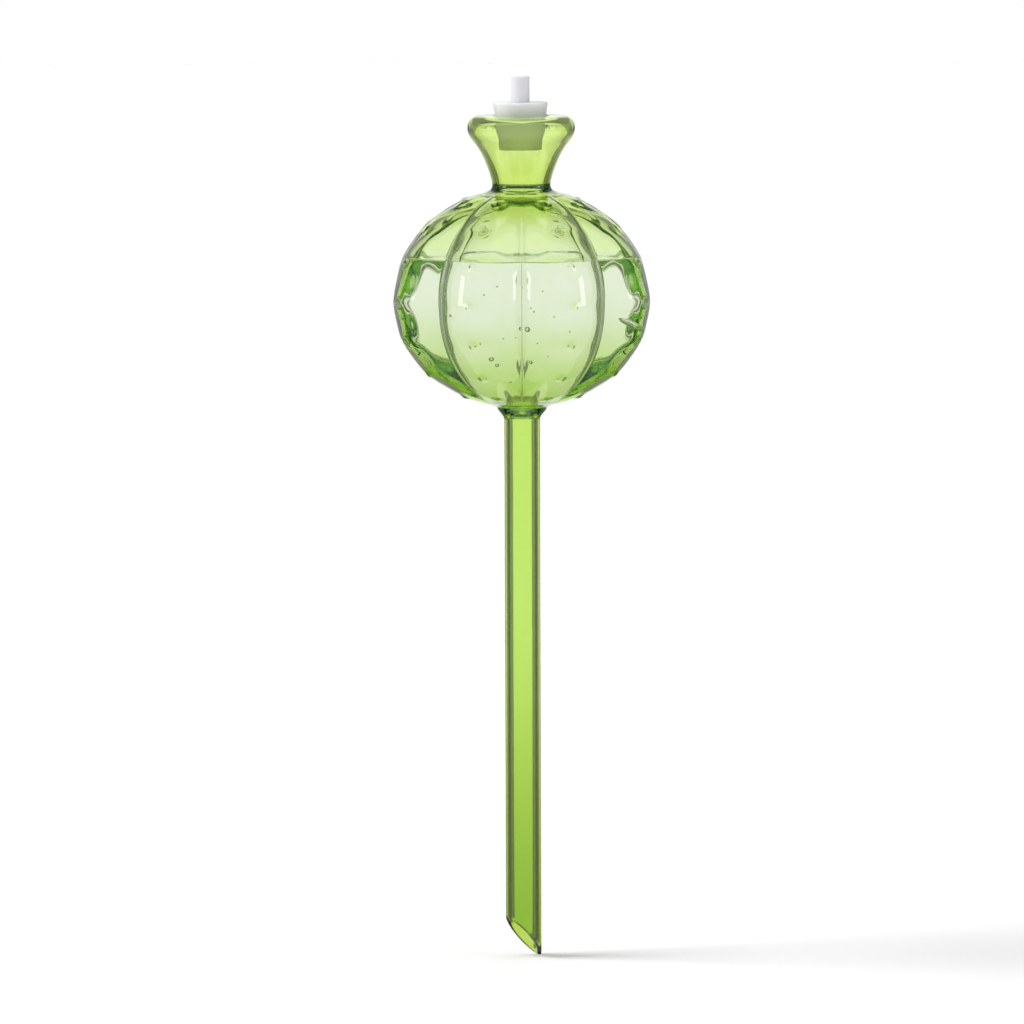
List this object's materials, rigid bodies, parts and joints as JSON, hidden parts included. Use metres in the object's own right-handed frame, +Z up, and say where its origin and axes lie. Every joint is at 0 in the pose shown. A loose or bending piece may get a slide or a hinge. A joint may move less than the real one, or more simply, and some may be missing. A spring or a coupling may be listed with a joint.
{
  "type": "watering globe",
  "caption": "Lobed glass globe on a slant-cut tube that is pushed into soil, with a funnel neck closed by a soft tapered stopper with a small pull peg.",
  "frame": {"origin": "on the axis of the stem, level with the lowest point of its slant-cut tip", "axes": "+Z up the stem through the globe and the neck; the front, as pictured, faces -Y"},
  "size_m": [0.0794, 0.0794, 0.2736],
  "materials": {
    "glass": "clear green, fire polished",
    "silicone": "milky translucent, satin",
    "peg_plastic": "translucent, satin"
  },
  "bodies": {
    "vessel": {"globe": "glass", "neck": "glass", "collar": "glass", "stem": "glass"},
    "stopper": {"stopper": "silicone", "pull_peg": "peg_plastic"}
  },
  "joints": [
    {"name": "stopper_lift", "type": "slide", "parent": "vessel", "child": "stopper", "axis": [0, 0, 1], "range_m": [0, 0.03]}
  ]
}
